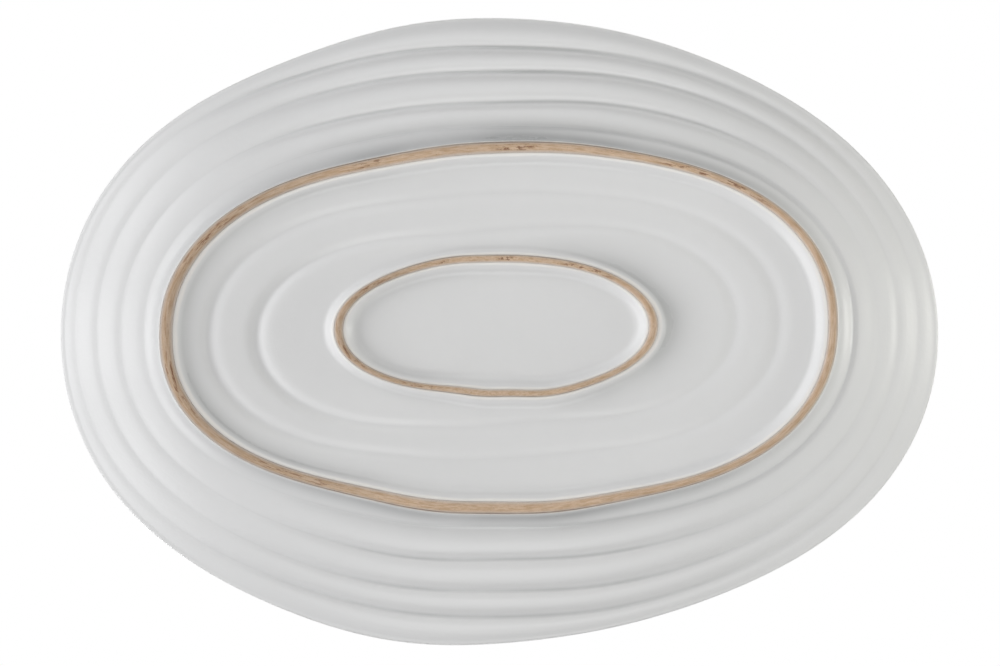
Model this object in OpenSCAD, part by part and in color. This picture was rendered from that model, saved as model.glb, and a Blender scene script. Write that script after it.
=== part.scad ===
// Oval serving platter, thrown in clay and altered to an oval, then glazed.
// It stands on its two foot rings: +Z is up, and the origin is on the table
// below the middle of the platter, with the long way along X.

/* [Overall] */
// Length over the glazed lip, before it wanders from a true oval
platter_l = 431; // [400:1:520]
// Width over the glazed lip, before it wanders from a true oval
platter_w = 305; // [250:1:372]
// Height from the table to the top of the lip
platter_h = 34; // [28:1:42]

/* [Clay body] */
// Thickness of the flat well
well_t = 5; // [4:0.5:7]
// Thickness of the rim where it leaves the well, measured upwards
rim_t = 5.2; // [4:0.1:7]
// Thickness of the rim at the lip, which is rounded over by as much
lip_round = 3; // [2:0.5:4]
// Dish of the well, from its edge to its middle
well_dish = 0.6; // [0:0.1:1.5]

/* [Outer foot ring] */
// Length over the outer foot ring
foot_l = 328; // [270:1:394]
// Width over the outer foot ring
foot_w = 178; // [148:1:218]
// Width of the band of clay that the outer ring is made from
foot_band = 6; // [4:0.5:8]
// Height of both foot rings
foot_h = 6; // [5:0.5:8]
// How far the outer ring stands off the middle of the platter
foot_off = 1.9; // [0:0.1:4]

/* [Inner foot ring] */
// Length over the inner foot ring
inner_foot_l = 157; // [130:1:190]
// Width over the inner foot ring
inner_foot_w = 68; // [56:1:82]
// Width of the band of clay that the inner ring is made from
inner_foot_band = 4; // [3:0.5:6]
// How far the inner ring was set askew, in degrees
inner_foot_turn = 1.1; // [-4:0.1:4]
// How far the inner ring stands off the middle of the platter
inner_foot_off = 2.9; // [0:0.1:5]

/* [Glaze] */
// Thickness of the glaze
glaze_t = 0.4; // [0.3:0.05:0.6]
// Height of bare clay left on both foot rings
bare_h = 1.6; // [1:0.1:2.5]

/* [Throwing marks] */
// Depth of the throwing marks under the rim
groove_depth = 1; // [0:0.1:1.5]
// Depth of the softer marks between the foot rings
soft_groove_depth = 0.5; // [0:0.1:0.8]
// How far the lip wanders from a true oval
lip_wander = 1.3; // [0:0.1:2.5]
// How far the outer foot ring wanders from a true oval
foot_wander = 0.8; // [0:0.1:1.5]
// How far the inner foot ring wanders from a true oval
inner_foot_wander = 1.1; // [0:0.1:2]

/* [Hidden] */

facets = 64;            // flats round the platter
lip_power = 2;          // 2 is an ellipse; more is squarer at the corners
foot_power = 2.18;
inner_foot_power = 2.05;
foot_off_way = -66;     // towards which each ring is off, in degrees from +X
inner_foot_off_way = -99;
tread_ease = 1;         // how far the foot's tread is drawn in from its walls
ease_steps = 3;         // steps that round a foot ring down to its tread
lip_h = platter_h - glaze_t;
lip_edge_h = lip_h - lip_round;
well_h = foot_h + well_t;

// Unevenness of the lip and of both foot rings: number of waves round the
// platter, share of the whole wander, and the direction of the first crest.
lip_waves = [[1, 1, 144], [3, 1, 12], [4, 0.7, 19], [6, 0.5, 29], [8, 0.35, -21]];
foot_waves = [[3, 1, -46], [4, 0.6, 2], [5, 0.6, 33], [6, 0.7, -26]];
inner_foot_waves = [[3, 1, -43], [4, 0.4, -26], [5, 0.4, -31]];

// Throwing marks, as shares of the way from the foot ring to the lip: first at
// the long sides, then at the two ends. They sit a little farther out at +Y.
groove_sides = [0.11, 0.32, 0.56, 0.76];
groove_ends = [0.19, 0.43, 0.67, 0.86];
groove_lean = 0.01;

// Softer marks, as shares of the way from the inner foot ring to the outer.
soft_sides = [0.3, 0.6];
soft_ends = [0.52, 0.76];

clay = "tan";
glaze = "ghostwhite";

// ---- Plan shapes: the radius at t degrees round from +X ----

function oval(t, length, width, power) =
    1 / pow(pow(abs(cos(t)) / (length / 2), power)
            + pow(abs(sin(t)) / (width / 2), power), 1 / power);

// How far the clay wanders from a true oval: the sum of a few waves round it.
function wander(t, amount, waves) =
    amount * sum([for (w = waves) w[1] * cos(w[0] * (t - w[2]))]);
function sum(list) = list * [for (v = list) 1];

function lip_r(t) =
    oval(t, platter_l - 2 * glaze_t, platter_w - 2 * glaze_t, lip_power)
    + wander(t, lip_wander, lip_waves);
function foot_out(t) =
    oval(t, foot_l, foot_w, foot_power)
    + wander(t, foot_wander, foot_waves) + foot_off * cos(t - foot_off_way);
function foot_in(t) = foot_out(t) - foot_band;
function inner_out(t) =
    oval(t - inner_foot_turn, inner_foot_l, inner_foot_w, inner_foot_power)
    + wander(t, inner_foot_wander, inner_foot_waves)
    + inner_foot_off * cos(t - inner_foot_off_way);
function inner_in(t) = inner_out(t) - inner_foot_band;

function mix(a, b, share) = a + (b - a) * share;

// Share at which mark k lies at t degrees, between its side and its end value.
function mark(t, sides, ends, k) = mix(sides[k], ends[k], abs(cos(t)));

// ---- Section of the clay at t degrees: [radius, height] points ----

// Height of the rim's underside, before the throwing marks are cut.
function rim_under(share) =
    mix(foot_h, lip_edge_h, 0.85 * share + 0.15 * pow(share, 2));

// The clay between two marks swells by this share of their depth.
function swell(share) = pow(sin(180 * share), 0.6);

// A ridge under the rim between two shares of its width, ending in a groove.
function rim_ridge(t, from, to, steps) = [
    for (s = steps)
        let (share = mix(from, to, s))
        [mix(foot_out(t), lip_r(t), share),
         rim_under(share) - groove_depth * (swell(s) - 0.5) * min(1, 8 * share)]
];

function centre_under(t) = [
    [0, foot_h],
    [inner_in(t) * 0.5, foot_h],
    [inner_in(t), foot_h]
];
function centre_wall(t) = [[inner_in(t), bare_h]];
function base_wall_in(t) = [[inner_out(t), bare_h]];

function base_under(t) =
    let (stops = [0, mark(t, soft_sides, soft_ends, 0), mark(t, soft_sides, soft_ends, 1), 1])
    concat(
        [for (k = [0:2], s = [0, 0.5])
            [mix(inner_out(t), foot_in(t), mix(stops[k], stops[k + 1], s)),
             foot_h - (s == 0 ? 0 : soft_groove_depth)]],
        [[foot_in(t), foot_h]]
    );
function base_wall_out(t) = [[foot_in(t), bare_h]];
function rim_wall(t) = [[foot_out(t), bare_h]];

function rim_back(t) =
    let (marks = [for (k = [0:3]) mark(t, groove_sides, groove_ends, k) + groove_lean * sin(t)])
    concat(
        [[foot_out(t), foot_h]],
        rim_ridge(t, 0, marks[0], [0.5, 1]),
        [for (k = [0:2], p = rim_ridge(t, marks[k], marks[k + 1], [0.2, 0.5, 0.8, 1])) p],
        rim_ridge(t, marks[3], 1, [0.3, 0.65]),
        [[lip_r(t), lip_edge_h]]
    );

// The face, from the rounded lip down the rim and across the well.
function face(t) = concat(
    [[lip_r(t) - lip_round * 0.3, lip_h - lip_round * 0.3],
     [lip_r(t) - lip_round, lip_h]],
    [for (share = [0.9, 0.7, 0.5, 0.3, 0.12])
        [mix(foot_out(t), lip_r(t), share),
         rim_under(share) + mix(rim_t, lip_round, share)]],
    [[foot_out(t) - foot_band, well_h],
     [foot_out(t) * 0.5, well_h - well_dish * 0.75],
     [0, well_h - well_dish]]
);

// ---- Solids made from sections ----

angles = [for (i = [0:facets - 1]) i * 360 / facets];

// Outward normal at point j of a section, between the points beside it.
function normal(section, j) =
    let (last = len(section) - 1,
         run = section[min(j + 1, last)] - section[max(j - 1, 0)])
    [run[1], -run[0]] / norm(run);

// The outer face of the glaze over a section; an end on the axis stays there.
function coat(section) = [
    for (j = [0:len(section) - 1])
        section[j][0] == 0
            ? section[j] + [0, glaze_t * sign(normal(section, j)[1])]
            : section[j] + glaze_t * normal(section, j)
];

function reverse(list) = [for (j = [len(list) - 1:-1:0]) list[j]];
function slice(list, from, to) = [for (j = [from:to]) list[j]];

// Points of all sections, one after the other round the platter.
function points(sections) = [
    for (i = [0:facets - 1], p = sections[i])
        [p[0] * cos(angles[i]), p[0] * sin(angles[i]), p[1]]
];

// A band of triangle pairs between points j and k of neighbouring sections. On
// clay that a glaze covers, both sides of the joint are split the same way.
function band(rows, j, k, on_clay) = [
    for (i = [0:facets - 1])
        let (here = i * rows, next = ((i + 1) % facets) * rows)
        each on_clay
            ? [[here + j, here + k, next + j], [here + k, next + k, next + j]]
            : [[here + j, here + k, next + k], [here + j, next + k, next + j]]
];

// A solid whose section starts and ends on the axis, under and over it. Its
// bands from one row to another lie on the clay, facing the other way.
module turned_solid(sections, clay_from, clay_to) {
    rows = len(sections[0]);
    bottom = [for (i = [0:facets - 1])
        [0, i * rows + 1, ((i + 1) % facets) * rows + 1]];
    top = [for (i = [0:facets - 1])
        [i * rows + rows - 2, rows - 1, ((i + 1) % facets) * rows + rows - 2]];
    sides = [for (j = [1:rows - 3], f = band(rows, j, j + 1, j >= clay_from && j < clay_to)) f];
    polyhedron(points(sections), concat(bottom, sides, top));
}

// A solid whose section is a closed loop clear of the axis; its second half
// lies on the clay.
module turned_ring(sections) {
    rows = len(sections[0]);
    sides = [for (j = [0:rows - 1], f = band(rows, j, (j + 1) % rows, j >= rows / 2)) f];
    polyhedron(points(sections), sides);
}

// The plan of a foot ring at one height, drawn in by an amount at both walls.
module foot_plan(outer, inner, drawn_in) {
    polygon(
        concat([for (i = [0:facets - 1]) (outer[i] - drawn_in) * [cos(angles[i]), sin(angles[i])]],
               [for (i = [0:facets - 1]) (inner[i] + drawn_in) * [cos(angles[i]), sin(angles[i])]]),
        [[for (i = [0:facets - 1]) i], [for (i = [0:facets - 1]) facets + i]]
    );
}

// A foot ring: upright walls under the glaze, rounded in steps to a flat tread.
module foot_ring(outer, inner) {
    for (k = [0:ease_steps]) {
        step_h = bare_h * k / ease_steps;
        translate([0, 0, step_h])
            linear_extrude(foot_h - step_h)
                foot_plan(outer, inner, tread_ease * pow(1 - k / ease_steps, 2));
    }
}

// ---- Sub-parts ----

// Plate of fired clay, flat underneath where the foot rings are set on.
module clay_body() {
    color(clay)
        turned_solid([for (t = angles)
            concat(centre_under(t), base_under(t), rim_back(t), face(t))], 0, 0);
}

module outer_foot_ring() {
    color(clay)
        foot_ring([for (t = angles) foot_out(t)], [for (t = angles) foot_in(t)]);
}

module inner_foot_ring() {
    color(clay)
        foot_ring([for (t = angles) inner_out(t)], [for (t = angles) inner_in(t)]);
}

// Glaze poured over the face, as far as the outermost edge of the lip.
module face_glaze() {
    color(glaze)
        turned_solid([for (t = angles)
            let (back = rim_back(t),
                 bare = concat(back, face(t)),
                 lip = len(back) - 1,
                 last = len(bare) - 1)
            concat(reverse(slice(bare, lip, last)), slice(coat(bare), lip, last))],
            0, len(face(0)));
}

// Glaze on the back of the rim and down the outside of the outer foot ring.
module rim_back_glaze() {
    color(glaze)
        turned_ring([for (t = angles)
            let (back = concat(rim_wall(t), rim_back(t)),
                 lip = len(back) - 1)
            concat(slice(coat(concat(back, face(t))), 0, lip), reverse(back))]);
}

// Glaze between the two foot rings.
module base_glaze() {
    color(glaze)
        turned_ring([for (t = angles)
            let (bare = concat(base_wall_in(t), base_under(t), base_wall_out(t)))
            concat(coat(bare), reverse(bare))]);
}

// Glaze inside the inner foot ring.
module centre_glaze() {
    color(glaze)
        turned_solid([for (t = angles)
            let (bare = concat(centre_under(t), centre_wall(t)))
            concat(coat(bare), reverse(bare))],
            len(centre_under(0)) + 1, 2 * len(centre_under(0)) + 1);
}

clay_body();
outer_foot_ring();
inner_foot_ring();
face_glaze();
rim_back_glaze();
base_glaze();
centre_glaze();
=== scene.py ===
"""Oval serving platter, hand-thrown and glazed white, standing on two bare foot rings.

Each piece is made the way the potter made it: its section is drawn, spun round on
the wheel, and the round piece is then altered to an oval.
"""
import math

import bmesh
import bpy
import numpy as np
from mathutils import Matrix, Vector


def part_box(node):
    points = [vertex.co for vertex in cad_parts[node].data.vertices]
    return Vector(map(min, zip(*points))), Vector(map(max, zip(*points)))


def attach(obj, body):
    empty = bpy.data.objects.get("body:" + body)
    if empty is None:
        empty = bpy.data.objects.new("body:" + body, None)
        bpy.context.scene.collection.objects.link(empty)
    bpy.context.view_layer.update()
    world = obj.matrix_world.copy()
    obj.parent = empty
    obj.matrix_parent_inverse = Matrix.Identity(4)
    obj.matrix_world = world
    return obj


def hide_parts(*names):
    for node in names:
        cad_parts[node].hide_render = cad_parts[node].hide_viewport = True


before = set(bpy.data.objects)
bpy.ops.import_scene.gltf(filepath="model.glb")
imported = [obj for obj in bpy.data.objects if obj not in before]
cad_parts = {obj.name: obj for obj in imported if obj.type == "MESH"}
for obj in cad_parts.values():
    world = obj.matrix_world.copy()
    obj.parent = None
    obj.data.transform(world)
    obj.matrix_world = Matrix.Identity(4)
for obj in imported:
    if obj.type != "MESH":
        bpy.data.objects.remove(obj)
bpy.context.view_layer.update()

MM = 0.001
TURNS = 360                      # places round the platter

# Heights, in millimetres above the table
FOOT_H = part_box("outer_foot_ring")[1][2] / MM
RIM_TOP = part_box("face_glaze")[1][2] / MM
LIP_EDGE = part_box("rim_back_glaze")[1][2] / MM
WELL_H = 11.4                    # face of the well at its edge
WELL_DISH = 0.6
BARE_H = 1.7                     # glaze was wiped off the foot rings up to here
GLAZE_T = 0.4
ROOT_T = 5.6                     # rim's thickness at the well, glaze included

# Bands of bare clay, in millimetres
FOOT_BAND = 5.9
FOOT_BAND_UNEVEN = 0.5
FOOT_BAND_NARROWER = 0.7         # at the right end
INNER_BAND_SIDES = 3.5
INNER_BAND_ENDS = 4.55

# Unevenness of the hand: waves round the platter, millimetres, first crest
LIP_WAVES = [(3, 1.3, 12), (4, 1.0, 19), (6, 0.6, 29), (7, 0.3, 3), (8, 0.5, -21)]
FOOT_WAVES = [(3, 0.8, -46), (4, 0.5, 2), (5, 0.5, 33), (6, 0.5, -26), (7, 0.3, 18), (8, 0.5, -19)]
INNER_WAVES = [(3, 1.1, -43), (4, 0.5, -26), (5, 0.4, -31), (6, 0.4, -13)]
INNER_TURN = math.radians(1.1)

# Throwing marks: mean share of the way from the foot ring to the lip, and its waves
MARK_PLACES = ((0.139, ((1, 0.012, -110), (2, 0.027, 15), (4, 0.011, 43))),
               (0.386, ((1, 0.011, 37), (2, 0.037, 8), (3, 0.011, -43), (4, 0.022, 43))),
               (0.625, ((2, 0.026, 17), (3, 0.022, -46), (4, 0.029, -43))),
               (0.822, ((1, 0.010, -173), (2, 0.032, 17), (3, 0.026, -46), (4, 0.020, -39))))
RIDGE_SLOPE = 0.40               # rise of a ridge beside a mark, against the rim's own
MARK_DEPTH = 1.3
MARK_WIDTHS = (2.0, 2.3)         # half width of a mark, at the sides and at the ends
FIRST_NARROWER = 0.35            # how much narrower the first mark is at the right end
RIDGE_AT_ENDS = 0.13             # share of a ridge that is left at the ends
MARK_AT_ENDS = 0.16              # and of a mark, apart from the first
FADE = 0.7                       # how much of both is lost beside the left end
SHELF_DROP = 0.9                 # at the ends the rim is let down in soft shelves instead
SHELF_EASE = 2.4
EASES = (-1.2, -0.8, -0.4, 0, 0.4, 0.8, 1.2)   # millimetres that ridges are rounded over

# Under the rim beside the outer ring, at the sides, at the ends and more at the front
FLANKS = (2.0, 0.8)
FLANK_FRONT = 0.9
FLANK_REACH = 7
CORNER_ROUND = 1.8
CORNER_FRONT = 0.9

# Fine ripples under the rim at the right end, and the roundness under the lip
RIPPLE_H = 0.13
RIPPLE_MIDDLE = 22
RIPPLE_SPREAD = 11
RIPPLE_SPACING = 7
UNDER_LIP = 1.8
UNDER_LIP_H = 0.8

# Softer marks, as shares of the way between the foot rings: at the sides, at the
# ends, and how far each leans across, along and askew
SOFT_MARKS = ((0.26, 0.47, 0.01, -0.01, -0.043), (0.60, 0.745, -0.01, -0.03, -0.019))
SOFT_WIDTH = 3.7
SOFT_DEPTH = 0.8
SOFT_DEEPER = (1.1, 0.1)         # how much deeper they are at the left and right ends

# Glazed walls of the foot rings: where their rows lie, and how they run out
WALL_STEPS = (0.3, 0.7, 1.2, 1.7, 2.2, 2.7, 3.2, 3.8, 4.5, 5.3, 6.2, 7.2, 8.5, 10.0)
DIP = 0.25
DIP_RIGHT = 0.45
DIP_MIDDLE = 8
DIP_SPREAD = 2.6
TOE = 2.6
TOE_REACH = 6.5

# Painted shade and shadow in the corners, as a greyer tone: how strong it is under the rim at the
# front and the back, on the base and in the centre, and how many millimetres it fades over
PAINTED_SHADE_RIM = (1.6, 1.0)
PAINTED_SHADOW_BASE = 2.6
PAINTED_SHADOW_CENTRE = 1.0
RIM_SHADE_FADE = 4.5
INNER_SHADOW_FADE = 7
OUTER_SHADOW_FADE = 3
CENTRE_SHADOW_FADE = 4

# Bare tread of the foot rings: how it rounds over, and the small lift at its edges
TREAD_ROUND = 1.9
TREAD_EDGE_LIFT = 0.7
TREAD_EDGE = 0.1                 # share of its half width

# Eating side
LIP_BEND = 2.4                   # radius of the lip, seen from the side
WELL_BEND = 1.6                  # how softly the well turns into the rim
FACE_RINGS = 0.09                # height of the faint finger rings on the rim
FACE_RING_SPACING = 14

AROUND = 0.05                    # radius of the ring that streaks are drawn on, metres

angles = np.arange(TURNS) * 2 * math.pi / TURNS


# ---- Plan of the platter: radii at every place round it, in millimetres ----

def waves(turns, table):
    return sum(amount * np.cos(n * (turns - math.radians(crest))) for n, amount, crest in table)


def oval_over(node, power, table, turn=0.0):
    """Radii of the oval that fills a CAD node's box, with its unevenness."""
    lo, hi = (np.array(corner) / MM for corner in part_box(node))
    half = (hi - lo) / 2
    middle = (hi + lo) / 2
    right, back, left, front = waves(np.arange(4) * math.pi / 2, table)
    half_l = half[0] - (right + left) / 2
    half_w = half[1] - (back + front) / 2
    off_x = middle[0] - (right - left) / 2
    off_y = middle[1] - (back - front) / 2
    across = np.abs(np.cos(angles - turn)) / half_l
    along = np.abs(np.sin(angles - turn)) / half_w
    oval = (across ** power + along ** power) ** (-1 / power)
    off = off_x * np.cos(angles) + off_y * np.sin(angles)
    return oval + waves(angles, table) + off


def mix(a, b, share):
    return a + (b - a) * share


# Where along the platter a place lies: shares that run from 0 to 1
ends_share = (np.sqrt(np.cos(angles) ** 2 + 0.02) - 0.14) / 0.87
right = np.maximum(0, np.cos(angles))
right_end = right ** 3
left_end = np.maximum(0, -np.cos(angles)) ** 3
front_side = np.maximum(0, -np.sin(angles)) ** 2
back_side = np.maximum(0, np.sin(angles)) ** 2
beside_left = np.exp(-((np.degrees(np.arccos(np.cos(angles))) - 150) / 13) ** 2)

# How hard the fingers pressed at each place
pressed = (1 + 0.22 * np.cos(angles + math.radians(65))) * (1 - FADE * beside_left)

# Edges of the lip and the foot rings
lip_r = oval_over("face_glaze", 2.01, LIP_WAVES)
foot_out = oval_over("outer_foot_ring", 2.18, FOOT_WAVES)
foot_in = foot_out - FOOT_BAND + FOOT_BAND_UNEVEN * np.cos(angles + math.pi / 6)
foot_in = foot_in + FOOT_BAND_NARROWER * right_end
inner_out = oval_over("inner_foot_ring", 2.06, INNER_WAVES, INNER_TURN)
inner_in = inner_out - mix(INNER_BAND_SIDES, INNER_BAND_ENDS, ends_share)


# ---- Sections: rows of (radius, height) at every place, in millimetres ----

def eased(count):
    """Shares from 0 to 1, closer together at both ends."""
    return (1 - np.cos(np.linspace(0, math.pi, count))) / 2


def rim_under(share):
    """Height of the rim's underside, before its marks."""
    return mix(FOOT_H, LIP_EDGE, 0.85 * share + 0.15 * share ** 2)


def lumps(radius):
    """Slow unevenness of a thrown wall."""
    return 0.10 * np.cos(2 * angles + radius / 23) + 0.07 * np.cos(5 * angles - radius / 17)


def rim_marks(out, width, stops):
    """Relief of the ridges and shelves between the marks, this far out."""
    share = np.clip(out / width, 0, 1)
    relief = 0 * angles
    shelf = SHELF_DROP * ends_share ** 3 * (1 - FADE * beside_left)
    ridge_left = mix(1, RIDGE_AT_ENDS, ends_share ** 4)
    for start, end in zip(stops[:-1], stops[1:]):
        wide = end - start
        s = (share - start) / wide
        ridge = RIDGE_SLOPE / 4 * width * wide * pressed * ridge_left
        part = -ridge * (4 * s * (1 - s) - 0.5) * np.clip(out / 12, 0, 1)
        before = 1 - np.tanh(s * wide * width / SHELF_EASE)
        after = 1 - np.tanh((1 - s) * wide * width / SHELF_EASE)
        part = part + shelf * (s - 0.5 + (before - after) / 2)
        relief = np.where((s >= 0) & (s <= 1), part, relief)
    return relief


def rim_mark(n, away):
    """Depth of the n-th mark, this far from its middle."""
    uneven = 1 + 0.15 * np.cos(3 * angles + 2 * n) + 0.12 * np.cos(7 * angles - n)
    depth = MARK_DEPTH * pressed * uneven
    away = away / mix(*MARK_WIDTHS, ends_share ** 2)
    if n == 0:
        depth = depth * (0.22 + 0.45 * right + 1.6 * (right * np.sin(angles)) ** 2)
        away = away * (1 + FIRST_NARROWER * right_end)
    else:
        depth = depth * mix(1, MARK_AT_ENDS, ends_share ** 4)
    return depth * np.exp(-away ** 2)


def rim_back_rows():
    """From the edge of the bare foot, up its wall and out under the rim to the lip."""
    root = foot_out + 0.4
    rows = [(foot_out - 0.2, BARE_H + 0.3 + 0 * angles),
            (foot_out + 0.0, BARE_H + 0.05 + 0 * angles),
            (foot_out + 0.25, BARE_H + 0.1 + 0 * angles)]
    stops = [mean + waves(angles, table) for mean, table in MARK_PLACES]
    stops = [0 * angles] + stops + [1 + 0 * angles]
    width = lip_r - root
    flank = mix(*FLANKS, ends_share ** 2) + FLANK_FRONT * front_side
    round_off = CORNER_ROUND + CORNER_FRONT * front_side
    shares = [mix(stops[k], stops[k + 1], s) for k in range(5) for s in eased(16)[:-1]]
    for share in shares + [stops[5]]:
        out = share * width
        height = rim_under(share)
        height = height - (FOOT_H - BARE_H - 0.4) * np.exp(-out / round_off)
        height = height + flank * out / FLANK_REACH * np.exp(1 - out / FLANK_REACH)
        height = height + sum(rim_marks(out + ease, width, stops) for ease in EASES) / len(EASES)
        for n, stop in enumerate(stops[1:5]):
            height = height + rim_mark(n, (share - stop) * width)
        ripple = RIPPLE_H * np.exp(-((out - RIPPLE_MIDDLE) / RIPPLE_SPREAD) ** 2)
        ripple = ripple * np.sin((out - RIPPLE_MIDDLE / 2) * 2 * math.pi / RIPPLE_SPACING)
        height = height - ripple * right_end ** 2
        over = np.maximum(0, 1 - (1 - share) * width / UNDER_LIP)
        height = height + UNDER_LIP_H * (1 - np.sqrt(1 - np.minimum(over, 1) ** 2) - over)
        height = height + lumps(out) * np.minimum(1, out / 6)
        rows.append((root + out, height))
    return rows


def foot_wall(away, reach):
    """Share of a foot ring's height that its glazed wall keeps, this far away."""
    return np.exp(-(np.maximum(away, 0) / reach) ** 2.2)


def recess_height(away, reach, dip=DIP, toe=0):
    """Height of the glazed base beside a foot ring: its wall, a dip and a slow toe."""
    wall = foot_wall(away, reach)
    dip = dip * np.exp(-((away - DIP_MIDDLE) / DIP_SPREAD) ** 2)
    toe = toe * np.exp(-np.maximum(away, 0) / TOE_REACH) * (1 - wall)
    return mix(FOOT_H - GLAZE_T, BARE_H, wall) + dip - toe


def base_rows():
    """From the inner foot ring, out across the base to the outer foot ring."""
    last = WALL_STEPS[-1]
    width = foot_in - inner_out
    marks = []
    for side, end, across, along, askew in SOFT_MARKS:
        share = mix(side, end, ends_share ** 3) + across * np.sin(angles)
        share = share + along * np.cos(angles) + askew * np.sin(2 * angles)
        marks.append(inner_out + width * share)
    stops = [inner_out + last, marks[0], marks[1], foot_in - last]
    radii = [inner_out + step for step in WALL_STEPS]
    for k in range(3):
        radii += [mix(stops[k], stops[k + 1], s) for s in eased(22)[1:]]
    radii += [foot_in - step for step in reversed(WALL_STEPS[:-1])]
    inside_reach = 3.5 + 0.4 * np.cos(angles)
    inside_dip = DIP * (ends_share - right_end)
    outside_reach = 3.8 + 0.9 * right_end + 0.5 * left_end
    outside_dip = DIP * (ends_share - left_end) + DIP_RIGHT * right_end
    depth = SOFT_DEPTH + SOFT_DEEPER[0] * left_end + SOFT_DEEPER[1] * right_end
    rows = [(inner_out - 0.2, BARE_H + 0.3 + 0 * angles), (inner_out + 0.05, BARE_H + 0 * angles)]
    for radius in radii:
        inside = recess_height(radius - inner_out, inside_reach, inside_dip, TOE * right_end)
        outside = recess_height(foot_in - radius, outside_reach, outside_dip, TOE * left_end)
        height = np.minimum(inside, outside)
        for mark in marks:
            height = height + depth * np.exp(-((radius - mark) / SOFT_WIDTH) ** 2)
        rows.append((radius, height))
    rows += [(foot_in - 0.05, BARE_H + 0 * angles), (foot_in + 0.2, BARE_H + 0.3 + 0 * angles)]
    return rows


def centre_rows():
    """From the middle out to the inner foot ring."""
    end = inner_in - WALL_STEPS[-1]
    radii = [end * share for share in np.linspace(0, 1, 14)]
    radii += [inner_in - step for step in reversed(WALL_STEPS[:-1])]
    rows = [(radius, recess_height(inner_in - radius, 3.6 + 0 * angles)) for radius in radii]
    rows[0] = (0 * angles, rows[0][1].mean() + 0 * angles)
    rows += [(inner_in - 0.05, BARE_H + 0 * angles), (inner_in + 0.2, BARE_H + 0.3 + 0 * angles)]
    return rows


def face_rows():
    """From the middle of the well out over the rim and the lip to its edge."""
    rows = []
    rim_width = lip_r - foot_out
    lip_round = RIM_TOP - LIP_EDGE
    for share in np.linspace(0, 1, 84):
        radius = (lip_r - LIP_BEND) * share ** 0.8
        out = (radius - foot_out) / rim_width
        floor = WELL_H - WELL_DISH * np.maximum(0, 1 - (radius / foot_in) ** 2)
        rim = rim_under(out) + mix(ROOT_T, lip_round, np.maximum(out, 0) ** 1.5)
        height = floor + WELL_BEND * np.log1p(np.exp((rim - floor) / WELL_BEND))
        finger = FACE_RINGS * np.clip(out * 5, 0, 1) * np.clip((1 - out) * 5, 0, 1)
        height = height + finger * np.sin(out * rim_width * 2 * math.pi / FACE_RING_SPACING)
        rows.append((radius, np.minimum(height, RIM_TOP)))
    for turn in np.linspace(0, math.pi / 2, 9)[1:]:
        rows.append((lip_r - LIP_BEND * (1 - math.sin(turn)),
                     LIP_EDGE + lip_round * math.cos(turn) + 0 * angles))
    return rows


def corner(away, fade):
    """Where shadow is painted beside a ring's foot, and how it fades out."""
    return np.clip((away - 1.5) / 3, 0, 1) * np.exp(-np.maximum(away - 5, 0) / fade)


def back_painted_shade(rows):
    """Painted shade beside the outer ring, under the rim, at the front and the back."""
    out = np.array([row[0] for row in rows]) - foot_out
    front, back = PAINTED_SHADE_RIM
    return (front * front_side + back * back_side) * np.exp(-np.maximum(out, 0) / RIM_SHADE_FADE)


def base_painted_shadow(rows):
    """Painted shadow beside the rings, on the base between them: outside the inner ring at the
    right end, inside the outer ring at the left end.
    """
    radius = np.array([row[0] for row in rows])
    inner = PAINTED_SHADOW_BASE * right_end * corner(radius - inner_out, INNER_SHADOW_FADE)
    return inner + PAINTED_SHADOW_BASE * left_end * corner(foot_in - radius, OUTER_SHADOW_FADE)


def centre_painted_shadow(rows):
    """Painted shadow inside the inner ring, at the left end."""
    radius = np.array([row[0] for row in rows])
    return PAINTED_SHADOW_CENTRE * left_end * corner(inner_in - radius, CENTRE_SHADOW_FADE)


def foot_rows(outer, inner):
    """Closed section of a foot ring: a rounded bare tread under upright walls."""
    rows = []
    for share in eased(21):
        side = abs(2 * share - 1)
        height = (BARE_H - 0.1) * side ** TREAD_ROUND
        height += TREAD_EDGE_LIFT * max(0, side - (1 - TREAD_EDGE)) / TREAD_EDGE
        rows.append((mix(inner, outer, share), height + 0 * angles))
    top = FOOT_H - 0.1 + 0 * angles
    rows += [(outer, top), (inner, top)]
    return rows


def inset(rows, amount):
    """Rows of a surface, moved into the clay behind it."""
    radius = np.array([row[0] for row in rows])
    height = np.array([row[1] for row in rows])
    run_r = np.gradient(radius, axis=0)
    run_h = np.gradient(height, axis=0)
    length = np.hypot(run_r, run_h)
    moved_r = np.maximum(radius - amount * run_h / length, 0)
    moved_h = height + amount * run_r / length
    moved_r[radius < 1e-6] = 0
    return list(zip(moved_r, moved_h))


def body_rows():
    """Closed section of the clay under the glaze, with a channel for each ring."""
    depth = GLAZE_T + 0.05
    seat = FOOT_H + 0 * angles
    rows = inset(centre_rows()[:-1], depth)
    rows += [(inner_in - 0.1, seat), (inner_out + 0.1, seat)]
    rows += inset(base_rows()[1:-1], depth)
    rows += [(foot_in - 0.1, seat), (foot_out + 0.1, seat)]
    rows += inset(rim_back_rows()[1:], depth)[::2]
    rows += inset([row for row in reversed(face_rows())], depth)[1:]
    return rows


# ---- Making a piece: draw the section, spin it, alter it to an oval ----

def deselect_all():
    if bpy.context.object and bpy.context.object.mode != "OBJECT":
        bpy.ops.object.mode_set(mode="OBJECT")
    bpy.ops.object.select_all(action="DESELECT")


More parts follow.
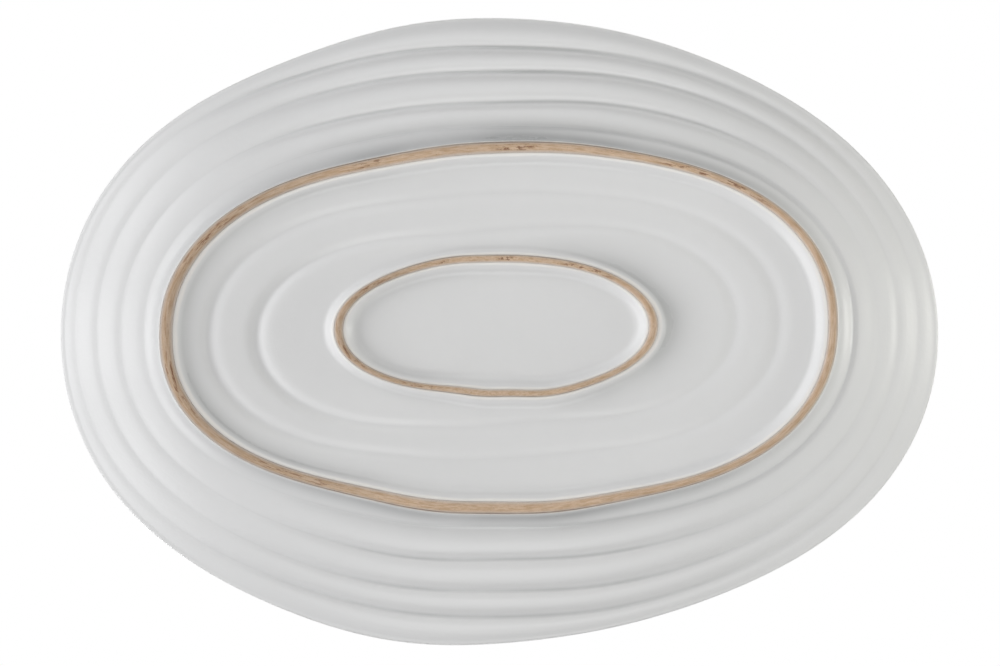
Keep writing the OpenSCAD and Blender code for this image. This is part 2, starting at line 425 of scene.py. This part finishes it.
def throw(name, rows, closed=False, painted_shade=0.0):
    """Draw the rows as a line, point by point, spin it and alter it to an oval."""
    deselect_all()
    wheel = [(k + 1.0 if rows[k][0].max() > 1e-6 else 0.0) for k in range(len(rows))]
    bpy.ops.mesh.primitive_plane_add(size=MM)
    piece = bpy.context.object
    piece.name = piece.data.name = name
    bpy.ops.object.mode_set(mode="EDIT")
    bpy.ops.mesh.select_all(action="SELECT")
    bpy.ops.mesh.merge(type="CENTER")
    bpy.ops.transform.translate(value=(wheel[0], 0, 0))
    for k in range(1, len(rows)):
        bpy.ops.mesh.extrude_vertices_move(
            TRANSFORM_OT_translate={"value": (wheel[k] - wheel[k - 1], 0, 0)})
    if closed:
        bpy.ops.object.mode_set(mode="OBJECT")
        ends = [v.index for v in piece.data.vertices if v.co.x in (wheel[0], wheel[-1])]
        bpy.ops.object.mode_set(mode="EDIT")
        bpy.ops.mesh.select_all(action="DESELECT")
        bpy.ops.object.mode_set(mode="OBJECT")
        for index in ends:
            piece.data.vertices[index].select = True
        bpy.ops.object.mode_set(mode="EDIT")
        bpy.ops.mesh.edge_face_add()
    bpy.ops.mesh.select_all(action="SELECT")
    bpy.ops.mesh.spin(steps=TURNS, angle=2 * math.pi, center=(0, 0, 0), axis=(0, 0, 1))
    bpy.ops.mesh.select_all(action="SELECT")
    bpy.ops.mesh.remove_doubles(threshold=1e-3)
    bpy.ops.object.mode_set(mode="OBJECT")
    return alter(piece, rows, wheel, painted_shade)


def alter(piece, rows, wheel, painted_shade):
    """Move each point from its place on the wheel to its place on the platter."""
    mesh = piece.data
    co = np.empty(len(mesh.vertices) * 3)
    mesh.vertices.foreach_get("co", co)
    co = co.reshape(-1, 3)
    row = np.maximum(np.rint(np.hypot(co[:, 0], co[:, 1])).astype(int) - 1, 0)
    if wheel[-1] == 0:
        row[np.hypot(co[:, 0], co[:, 1]) < 0.5] = len(rows) - 1
    place = np.rint(np.arctan2(co[:, 1], co[:, 0]) / (2 * math.pi / TURNS)).astype(int) % TURNS
    radius = np.array([r[0] for r in rows])
    height = np.array([r[1] for r in rows])
    co[:, 0] = radius[row, place] * MM * np.cos(angles[place])
    co[:, 1] = radius[row, place] * MM * np.sin(angles[place])
    co[:, 2] = height[row, place] * MM
    mesh.vertices.foreach_set("co", co.ravel())
    path = np.cumsum(np.hypot(np.diff(radius, axis=0), np.diff(height, axis=0)), axis=0)
    path = np.vstack([0 * angles, path])
    round_x, round_y = AROUND * np.cos(angles[place]), AROUND * np.sin(angles[place])
    thrown = np.stack([round_x, round_y, path[row, place] * MM], axis=1)
    keep(mesh, "thrown", thrown)
    across = ((radius - radius.min(axis=0)) / np.ptp(radius, axis=0))[row, place]
    keep(mesh, "across", across)
    # Greyer where the underside is hollow: partly glaze that pools there, partly painted shade in
    # the hollows; the painted shadows beside the rings are added to it
    pooled_and_shade = hollow(radius, height) * mix(1, 0.35, ends_share ** 2)
    keep(mesh, "pooled_and_shade", (pooled_and_shade + painted_shade)[row, place])
    mesh.update()
    return piece


def keep(mesh, name, values):
    """Store a number or a vector at each point, for the finishes to read."""
    kind, key = ("FLOAT_VECTOR", "vector") if values.ndim == 2 else ("FLOAT", "value")
    mesh.attributes.new(name, kind, "POINT").data.foreach_set(key, values.ravel())


def hollow(radius, height):
    """How much each point lies in a hollow of the underside, from -1 to 1."""
    run = np.gradient(radius, axis=0)
    run = np.where(np.abs(run) < 0.02, 0.02, run)
    slope = np.clip(np.gradient(height, axis=0) / run, -2, 2)
    bend = -np.gradient(slope, axis=0) / run
    return np.tanh(bend * 1.6)


def face_outwards(piece):
    """Turn all faces to the outside of a closed piece."""
    bpy.ops.object.mode_set(mode="EDIT")
    bpy.ops.mesh.select_all(action="SELECT")
    bpy.ops.mesh.normals_make_consistent(inside=False)
    shape = bmesh.from_edit_mesh(piece.data)
    if shape.calc_volume(signed=True) < 0:
        bpy.ops.mesh.flip_normals()
    bpy.ops.object.mode_set(mode="OBJECT")


def finish(piece, node, material, coat=0.0):
    """Close a coat to its thickness, face it outwards, and give it its finish."""
    deselect_all()
    piece.select_set(True)
    bpy.context.view_layer.objects.active = piece
    if coat:
        bpy.ops.object.mode_set(mode="EDIT")
        bpy.ops.mesh.select_all(action="SELECT")
        bpy.ops.mesh.normals_make_consistent(inside=False)
        bpy.ops.object.mode_set(mode="OBJECT")
        shell = piece.modifiers.new("Coat", "SOLIDIFY")
        shell.thickness = coat * MM
        shell.offset = -1
        shell.use_even_offset = True
        bpy.ops.object.modifier_apply(modifier=shell.name)
    face_outwards(piece)
    bpy.ops.object.shade_smooth()
    piece.data.materials.append(material)
    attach(piece, "root")
    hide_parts(node)


# ---- Finishes ----

WHITE = (0.80, 0.80, 0.80, 1)
FACE_WHITE = (0.82, 0.82, 0.815, 1)
# Grey of hollows and corners, partly glaze that pools there, partly painted shade; and whiter
# ridges, painted light
POOLED_AND_SHADE_GREY = (0.52, 0.525, 0.525, 1)
RIDGE_WHITE = (0.86, 0.855, 0.845, 1)
THIN_EDGE = (0.90, 0.87, 0.83, 1)
BUFF = (0.69, 0.52, 0.38)
BODY_BUFF = (0.58, 0.44, 0.31)
PALER = (0.98, 1.18, 1.5)        # how clay's colour turns where it is paler or darker
DARKER = (0.80, 0.72, 0.62)
STAIN_BROWN = (0.22, 0.10, 0.05, 1)
# Dark brown of a painted shadow line in the gap inside a foot ring's outer edge
GAP_SHADOW_BROWN = (0.17, 0.11, 0.07, 1)
PORE_BROWN = (0.16, 0.10, 0.07, 1)
BUMP_HEIGHT = 0.0002             # metres
THIN_BELOW = (0.0013, 0.0020)    # glaze is thin up to these heights, metres
THIN_WANDER = 0.0009


def new_material(name):
    material = bpy.data.materials.new(name)
    material.use_nodes = True
    nodes = material.node_tree.nodes
    nodes.clear()
    shader = nodes.new("ShaderNodeBsdfPrincipled")
    output = nodes.new("ShaderNodeOutputMaterial")
    material.node_tree.links.new(shader.outputs["BSDF"], output.inputs["Surface"])
    return material, shader


class Wiring:
    """Adds and joins the nodes of one material or one node group."""

    def __init__(self, tree):
        self.tree = tree

    def add(self, kind, **settings):
        node = self.tree.nodes.new("ShaderNode" + kind)
        for key, value in settings.items():
            setattr(node, key, value)
        return node

    def put(self, value, socket):
        if isinstance(value, bpy.types.NodeSocket):
            self.tree.links.new(value, socket)
        else:
            socket.default_value = value

    def math(self, operation, a, b=0.0, c=0.0):
        node = self.add("Math", operation=operation)
        for value, socket in zip((a, b, c), node.inputs):
            self.put(value, socket)
        return node.outputs[0]

    def noise(self, vector, scale, detail=2.0, roughness=0.5):
        node = self.add("TexNoise")
        self.put(vector, node.inputs["Vector"])
        self.put(scale, node.inputs["Scale"])
        self.put(detail, node.inputs["Detail"])
        self.put(roughness, node.inputs["Roughness"])
        return node.outputs["Fac"]

    def stretch(self, vector, scale):
        node = self.add("Mapping")
        self.put(vector, node.inputs["Vector"])
        node.inputs["Scale"].default_value = scale
        return node.outputs["Vector"]

    def ramp(self, value, low, high, to_low=0.0, to_high=1.0):
        node = self.add("MapRange", interpolation_type="SMOOTHSTEP")
        for item, socket in zip((value, low, high, to_low, to_high), node.inputs):
            self.put(item, socket)
        return node.outputs[0]

    def blend(self, share, a, b, kind="MIX"):
        node = self.add("Mix", data_type="RGBA", blend_type=kind)
        self.put(share, node.inputs["Factor"])
        self.put(a, node.inputs[6])
        self.put(b, node.inputs[7])
        return node.outputs[2]

    def attribute(self, name, output="Fac"):
        return self.add("Attribute", attribute_name=name).outputs[output]


def node_group(name, inputs, outputs):
    """Start a node group; returns its wiring, its inputs by name and its end node."""
    tree = bpy.data.node_groups.new(name, "ShaderNodeTree")
    for label, kind, value in inputs:
        socket = tree.interface.new_socket(name=label, in_out="INPUT", socket_type=kind)
        if value is not None:
            socket.default_value = value
    for label, kind in outputs:
        tree.interface.new_socket(name=label, in_out="OUTPUT", socket_type=kind)
    wires = Wiring(tree)
    start = tree.nodes.new("NodeGroupInput")
    return wires, start.outputs, tree.nodes.new("NodeGroupOutput").inputs


def place_group(wires, name, **values):
    node = wires.add("Group", node_tree=bpy.data.node_groups[name])
    for key, value in values.items():
        wires.put(value, node.inputs[key])
    return node.outputs


def make_throwing_lines():
    """Fine lines that the fingers and the rib leave round the pot."""
    wires, given, out = node_group(
        "Throwing_lines",
        [("Wheel", "NodeSocketVector", None), ("Spacing", "NodeSocketFloat", 1.0)],
        [("Lines", "NodeSocketFloat"), ("Streaks", "NodeSocketFloat")])
    scale = wires.math("DIVIDE", 700.0, given["Spacing"])
    lines = wires.noise(wires.stretch(given["Wheel"], (0.02, 0.02, 1.0)), scale, 3.0, 0.6)
    streaks = wires.noise(wires.stretch(given["Wheel"], (0.25, 0.25, 1.0)), scale, 3.0, 0.65)
    wires.put(lines, out["Lines"])
    wires.put(streaks, out["Streaks"])


def make_clouding():
    """Slow unevenness of tone: where the dip ran thick or thin, and fine mottling."""
    wires, given, out = node_group(
        "Clouding",
        [("Vector", "NodeSocketVector", None), ("Broad", "NodeSocketFloat", 0.02),
         ("Fine", "NodeSocketFloat", 0.01)],
        [("Tone", "NodeSocketFloat"), ("Mottle", "NodeSocketFloat")])
    broad = wires.noise(given["Vector"], 14.0, 2.0)
    fine = wires.noise(given["Vector"], 130.0, 3.0, 0.6)
    tone = wires.math("MULTIPLY_ADD", wires.math("SUBTRACT", broad, 0.5), given["Broad"], 1.0)
    tone = wires.math("MULTIPLY_ADD", wires.math("SUBTRACT", fine, 0.5), given["Fine"], tone)
    wires.put(tone, out["Tone"])
    wires.put(fine, out["Mottle"])


def make_grain():
    """Fine grain and open pores of clay after firing."""
    wires, given, out = node_group(
        "Clay_grain",
        [("Vector", "NodeSocketVector", None), ("Size", "NodeSocketFloat", 1.0)],
        [("Grain", "NodeSocketFloat"), ("Pores", "NodeSocketFloat")])
    grain = wires.noise(given["Vector"], wires.math("DIVIDE", 1400.0, given["Size"]), 4.0, 0.7)
    cells = wires.add("TexVoronoi")
    wires.put(given["Vector"], cells.inputs["Vector"])
    wires.put(wires.math("DIVIDE", 650.0, given["Size"]), cells.inputs["Scale"])
    pore = wires.ramp(cells.outputs["Distance"], 0.05, 0.22, 1.0, 0.0)
    rare = wires.ramp(wires.noise(given["Vector"], 260.0), 0.52, 0.62)
    wires.put(grain, out["Grain"])
    wires.put(wires.math("MULTIPLY", pore, rare), out["Pores"])


def grey(wires, value):
    node = wires.add("CombineColor")
    for socket in node.inputs:
        wires.put(value, socket)
    return node.outputs[0]


def roughen(wires, shader, relief, strength):
    """Fine relief that is too small to model."""
    bump = wires.add("Bump")
    bump.inputs["Strength"].default_value = strength
    bump.inputs["Distance"].default_value = BUMP_HEIGHT
    wires.put(relief, bump.inputs["Height"])
    wires.put(bump.outputs["Normal"], shader.inputs["Normal"])


def white_glaze(name, colour, roughness, pooling_and_shade, lines, side=1.0):
    """Satin white glaze: clouded, greyer in hollows and corners, where glaze pools and where shade
    and shadow are painted, whiter on ridges as painted light, thin at its edge.

    side is -1 on the eating side, where hollows and ridges change places.
    """
    material, shader = new_material(name)
    wires = Wiring(material.node_tree)
    place = wires.add("TexCoord").outputs["Object"]
    wheel = wires.attribute("thrown", "Vector")
    pooled_and_shade = wires.math("MULTIPLY", wires.attribute("pooled_and_shade"), side)
    cloud = place_group(wires, "Clouding", Vector=place, Broad=0.035, Fine=0.02)
    thrown = place_group(wires, "Throwing_lines", Wheel=wheel, Spacing=1.4)

    # Painted shade: hollows and corners turn greyer, partly from glaze that pools there; ridges
    # turn whiter as painted light
    in_hollow = wires.math("MAXIMUM", pooled_and_shade, 0.0)
    uneven = wires.ramp(wires.noise(place, 11.0), 0.35, 0.62, 0.45, 1.0)
    in_hollow = wires.math("MULTIPLY", in_hollow, uneven)
    on_ridge = wires.math("MAXIMUM", wires.math("MULTIPLY", pooled_and_shade, -1.0), 0.0)
    base = wires.blend(wires.math("MULTIPLY", in_hollow, pooling_and_shade), colour, POOLED_AND_SHADE_GREY)
    base = wires.blend(wires.math("MULTIPLY", on_ridge, 0.25), base, RIDGE_WHITE)
    base = wires.blend(1.0, base, grey(wires, cloud["Tone"]), "MULTIPLY")
    height = wires.add("SeparateXYZ")
    wires.put(place, height.inputs[0])
    edge_noise = wires.math("MULTIPLY", wires.noise(place, 90.0), THIN_WANDER)
    above = wires.math("SUBTRACT", height.outputs["Z"], edge_noise)
    thin = wires.ramp(above, *THIN_BELOW, 0.8, 0.0)
    base = wires.blend(thin, base, THIN_EDGE)
    wires.put(base, shader.inputs["Base Color"])

    worn = wires.math("MULTIPLY_ADD", cloud["Mottle"], 0.10, roughness - 0.05)
    worn = wires.math("MULTIPLY_ADD", in_hollow, -0.06, worn)
    wires.put(worn, shader.inputs["Roughness"])

    peel = wires.noise(place, 420.0, 2.0)
    roughen(wires, shader, wires.math("MULTIPLY_ADD", thrown["Lines"], lines, peel), 0.30)
    return material


def fired_clay(name, colour, grain_size, brown):
    """Bare clay, dry and streaked along the ring, paler at its edges.

    Brown stains lie along its middle. A thin dark line inside its outer edge is a painted shadow,
    and the clay is made darker at the ends, and more at the left end, as painted shade.
    """
    material, shader = new_material(name)
    wires = Wiring(material.node_tree)
    place = wires.add("TexCoord").outputs["Object"]
    wheel = wires.attribute("thrown", "Vector")
    across = wires.attribute("across")
    cloud = place_group(wires, "Clouding", Vector=place, Broad=0.25, Fine=0.25)
    thrown = place_group(wires, "Throwing_lines", Wheel=wheel, Spacing=0.5)
    grain = place_group(wires, "Clay_grain", Vector=place, Size=grain_size)

    light = tuple(min(1, c * k) for c, k in zip(colour, PALER)) + (1,)
    dark = tuple(c * k for c, k in zip(colour, DARKER)) + (1,)
    base = wires.blend(wires.ramp(thrown["Streaks"], 0.35, 0.65), dark, colour + (1,))
    edges = wires.math("ABSOLUTE", wires.math("MULTIPLY_ADD", across, 2.0, -1.0))
    base = wires.blend(wires.ramp(edges, 0.4, 0.95, 0.0, 0.8), base, light)
    base = wires.blend(1.0, base, grey(wires, cloud["Tone"]), "MULTIPLY")
    # Painted shade: the bare clay is made darker towards the ends, and more at the left end
    turn = wires.add("SeparateXYZ")
    wires.put(wheel, turn.inputs[0])
    at_ends = wires.ramp(wires.math("ABSOLUTE", turn.outputs["X"]), 0.7 * AROUND, AROUND, 1.0, 0.93)
    at_left = wires.ramp(turn.outputs["X"], -AROUND, -0.5 * AROUND, 0.86, 1.0)
    painted_end_shade = wires.math("MULTIPLY", at_ends, at_left)
    base = wires.blend(1.0, base, grey(wires, painted_end_shade), "MULTIPLY")
    speckle = wires.math("MULTIPLY_ADD", grain["Grain"], 0.24, 0.88)
    base = wires.blend(1.0, base, grey(wires, speckle), "MULTIPLY")

    long_marks = wires.noise(wires.stretch(wheel, (0.5, 0.5, 1.0)), 900.0, 4.0, 0.7)
    patches = wires.noise(wires.stretch(wheel, (1.0, 1.0, 0.2)), 42.0, 1.0)
    middle = wires.ramp(edges, 0.3, 0.75, 1.0, 0.0)
    stain = wires.math("MULTIPLY", wires.ramp(long_marks, 0.52, 0.60),
                       wires.ramp(patches, 0.46, 0.58))
    stain = wires.math("MULTIPLY", stain, middle)
    stain = wires.math("MULTIPLY", stain, brown)
    base = wires.blend(stain, base, STAIN_BROWN)
    # Painted shadow: a thin dark line just inside the outer edge of the tread, along the sides,
    # standing for the shadow of a gap at the glaze edge
    gap_shadow_line = wires.math("MULTIPLY", wires.ramp(across, 0.86, 0.91),
                          wires.ramp(across, 0.94, 0.98, 1.0, 0.0))
    sides = wires.ramp(wires.math("ABSOLUTE", turn.outputs["Y"]), 0.3 * AROUND, 0.8 * AROUND)
    sides = wires.math("MULTIPLY", sides, wires.ramp(patches, 0.3, 0.5, 0.5, 1.0))
    gap_shadow_line = wires.math("MULTIPLY", gap_shadow_line, sides)
    base = wires.blend(wires.math("MULTIPLY", gap_shadow_line, 0.75), base, GAP_SHADOW_BROWN)
    base = wires.blend(wires.math("MULTIPLY", grain["Pores"], 0.45), base, PORE_BROWN)
    wires.put(base, shader.inputs["Base Color"])

    wires.put(wires.math("MULTIPLY_ADD", grain["Grain"], 0.2, 0.72), shader.inputs["Roughness"])
    relief = wires.math("MULTIPLY_ADD", thrown["Streaks"], 0.8, grain["Grain"])
    roughen(wires, shader, wires.math("MULTIPLY_ADD", grain["Pores"], -0.8, relief), 0.5)
    return material


# ---- The pieces ----

make_throwing_lines()
make_clouding()
make_grain()
back_glaze = white_glaze("White_glaze_back", WHITE, 0.36, 0.85, 0.8)
base_glaze = white_glaze("White_glaze_base", WHITE, 0.38, 0.42, 0.6)
face_glaze = white_glaze("White_glaze_face", FACE_WHITE, 0.24, 0.20, 0.5, -1.0)
ring_clay = fired_clay("Bare_clay", BUFF, 1.0, 0.9)
body_clay = fired_clay("Fired_body", BODY_BUFF, 1.6, 0.0)

back, base, centre = rim_back_rows(), base_rows(), centre_rows()
# The glazes carry painted shade and shadow beside the rings, as a greyer tone in their colour
finish(throw("Rim_back_glaze", back, painted_shade=back_painted_shade(back)), "rim_back_glaze",
       back_glaze, GLAZE_T)
finish(throw("Base_glaze", base, painted_shade=base_painted_shadow(base)), "base_glaze",
       base_glaze, GLAZE_T)
finish(throw("Centre_glaze", centre, painted_shade=centre_painted_shadow(centre)), "centre_glaze",
       base_glaze, GLAZE_T)
finish(throw("Face_glaze", face_rows()), "face_glaze", face_glaze, GLAZE_T)
finish(throw("Outer_foot_ring", foot_rows(foot_out, foot_in), closed=True),
       "outer_foot_ring", ring_clay)
finish(throw("Inner_foot_ring", foot_rows(inner_out, inner_in), closed=True),
       "inner_foot_ring", ring_clay)
finish(throw("Clay_body", body_rows()), "clay_body", body_clay)


# ---- Camera: square on to the underside, from below ----

CAMERA_BELOW = 2.17
CAMERA_OFF = (0.0003, 0.00135)   # off the middle of the platter
VIEW_WIDTH = 0.4894              # width of the view at the lip
SENSOR = 36.0
ROLL = math.radians(1.1)

camera_data = bpy.data.cameras.new("Camera")
camera_data.sensor_width = SENSOR
camera_data.lens = SENSOR * (CAMERA_BELOW + LIP_EDGE * MM) / VIEW_WIDTH
camera_data.clip_end = 50
camera = bpy.data.objects.new("Camera", camera_data)
camera.location = (*CAMERA_OFF, -CAMERA_BELOW)
camera.rotation_euler = (math.pi, 0, ROLL)
bpy.context.collection.objects.link(camera)
bpy.context.scene.camera = camera


# ---- Studio ----

COOL = (0.985, 0.99, 1.0)
PLAIN = (1, 1, 1)
WARM = (1.0, 1.0, 0.95)
WARMER = (1.0, 1.0, 0.93)
TABLE_GREY = (0.78, 0.78, 0.77, 1)
AMBIENT = 0.1                    # strength of the even light from all round

# Name, turn and height angle in degrees, size and distance in metres, watts, colour.
# The lights below the table light the underside; the last two light the table.
LIGHTS = (("Left_key", 180, -20, 0.9, 2.0, 10.5, COOL),
          ("Left_key_front", -145, -20, 0.9, 2.0, 10.5, COOL),
          ("Left_key_back", 145, -20, 0.9, 2.0, 10.3, COOL),
          ("Back_fill", 90, -45, 0.9, 2.0, 10, PLAIN),
          ("Front_fill", -90, -45, 0.5, 0.8, 1.4, PLAIN),
          ("Right_high", 0, -40, 0.5, 0.8, 0.8, WARM),
          ("Right_low", 0, -8, 0.26, 1.0, 2.3, WARMER),
          ("Right_front", -45, -20, 0.5, 0.8, 0.5, PLAIN),
          ("Right_back", 45, -20, 0.5, 0.8, 0.6, PLAIN),
          ("Window", 120, 50, 1.8, 3.3, 66, PLAIN),
          ("Room", -40, 65, 2.4, 3.3, 46, PLAIN))


def soft_light(name, turn, lift, size, distance, power, colour):
    """A square softbox aimed at the platter."""
    data = bpy.data.lights.new(name, "AREA")
    data.shape = "SQUARE"
    data.size = size
    data.energy = power
    data.color = colour
    light = bpy.data.objects.new(name, data)
    turn, lift = math.radians(turn), math.radians(lift)
    light.location = (distance * math.cos(lift) * math.cos(turn),
                      distance * math.cos(lift) * math.sin(turn), distance * math.sin(lift))
    light.rotation_euler = light.location.to_track_quat("Z", "Y").to_euler()
    light.visible_camera = False
    bpy.context.collection.objects.link(light)


def white_surround():
    """White behind everything, and a faint even light from all round."""
    world = bpy.data.worlds.new("Surround")
    bpy.context.scene.world = world
    world.use_nodes = True
    nodes, links = world.node_tree.nodes, world.node_tree.links
    nodes.clear()
    path = nodes.new("ShaderNodeLightPath")
    seen = nodes.new("ShaderNodeBackground")
    seen.inputs["Strength"].default_value = 1.0
    seen.inputs["Color"].default_value = (1, 1, 1, 1)
    around = nodes.new("ShaderNodeBackground")
    around.inputs["Strength"].default_value = AMBIENT
    around.inputs["Color"].default_value = (1, 1, 1, 1)
    both = nodes.new("ShaderNodeMixShader")
    output = nodes.new("ShaderNodeOutputWorld")
    links.new(path.outputs["Is Camera Ray"], both.inputs[0])
    links.new(around.outputs[0], both.inputs[1])
    links.new(seen.outputs[0], both.inputs[2])
    links.new(both.outputs[0], output.inputs["Surface"])


def pale_floor():
    """Table that is solid from above and clear from below, so the foot shows."""
    bpy.ops.mesh.primitive_plane_add(size=6, location=(0, 0, 0))
    floor = bpy.context.object
    floor.name = "Table"
    material, shader = new_material("Table")
    shader.inputs["Base Color"].default_value = TABLE_GREY
    shader.inputs["Roughness"].default_value = 0.7
    nodes, links = material.node_tree.nodes, material.node_tree.links
    side = nodes.new("ShaderNodeNewGeometry")
    clear = nodes.new("ShaderNodeBsdfTransparent")
    both = nodes.new("ShaderNodeMixShader")
    links.new(side.outputs["Backfacing"], both.inputs[0])
    links.new(shader.outputs["BSDF"], both.inputs[1])
    links.new(clear.outputs["BSDF"], both.inputs[2])
    links.new(both.outputs["Shader"], nodes["Material Output"].inputs["Surface"])
    floor.data.materials.append(material)
    floor.visible_shadow = False
    floor.visible_diffuse = False
    floor.visible_glossy = False


deselect_all()
for light in LIGHTS:
    soft_light(*light)
white_surround()
pale_floor()
bpy.context.scene.view_settings.view_transform = "Standard"
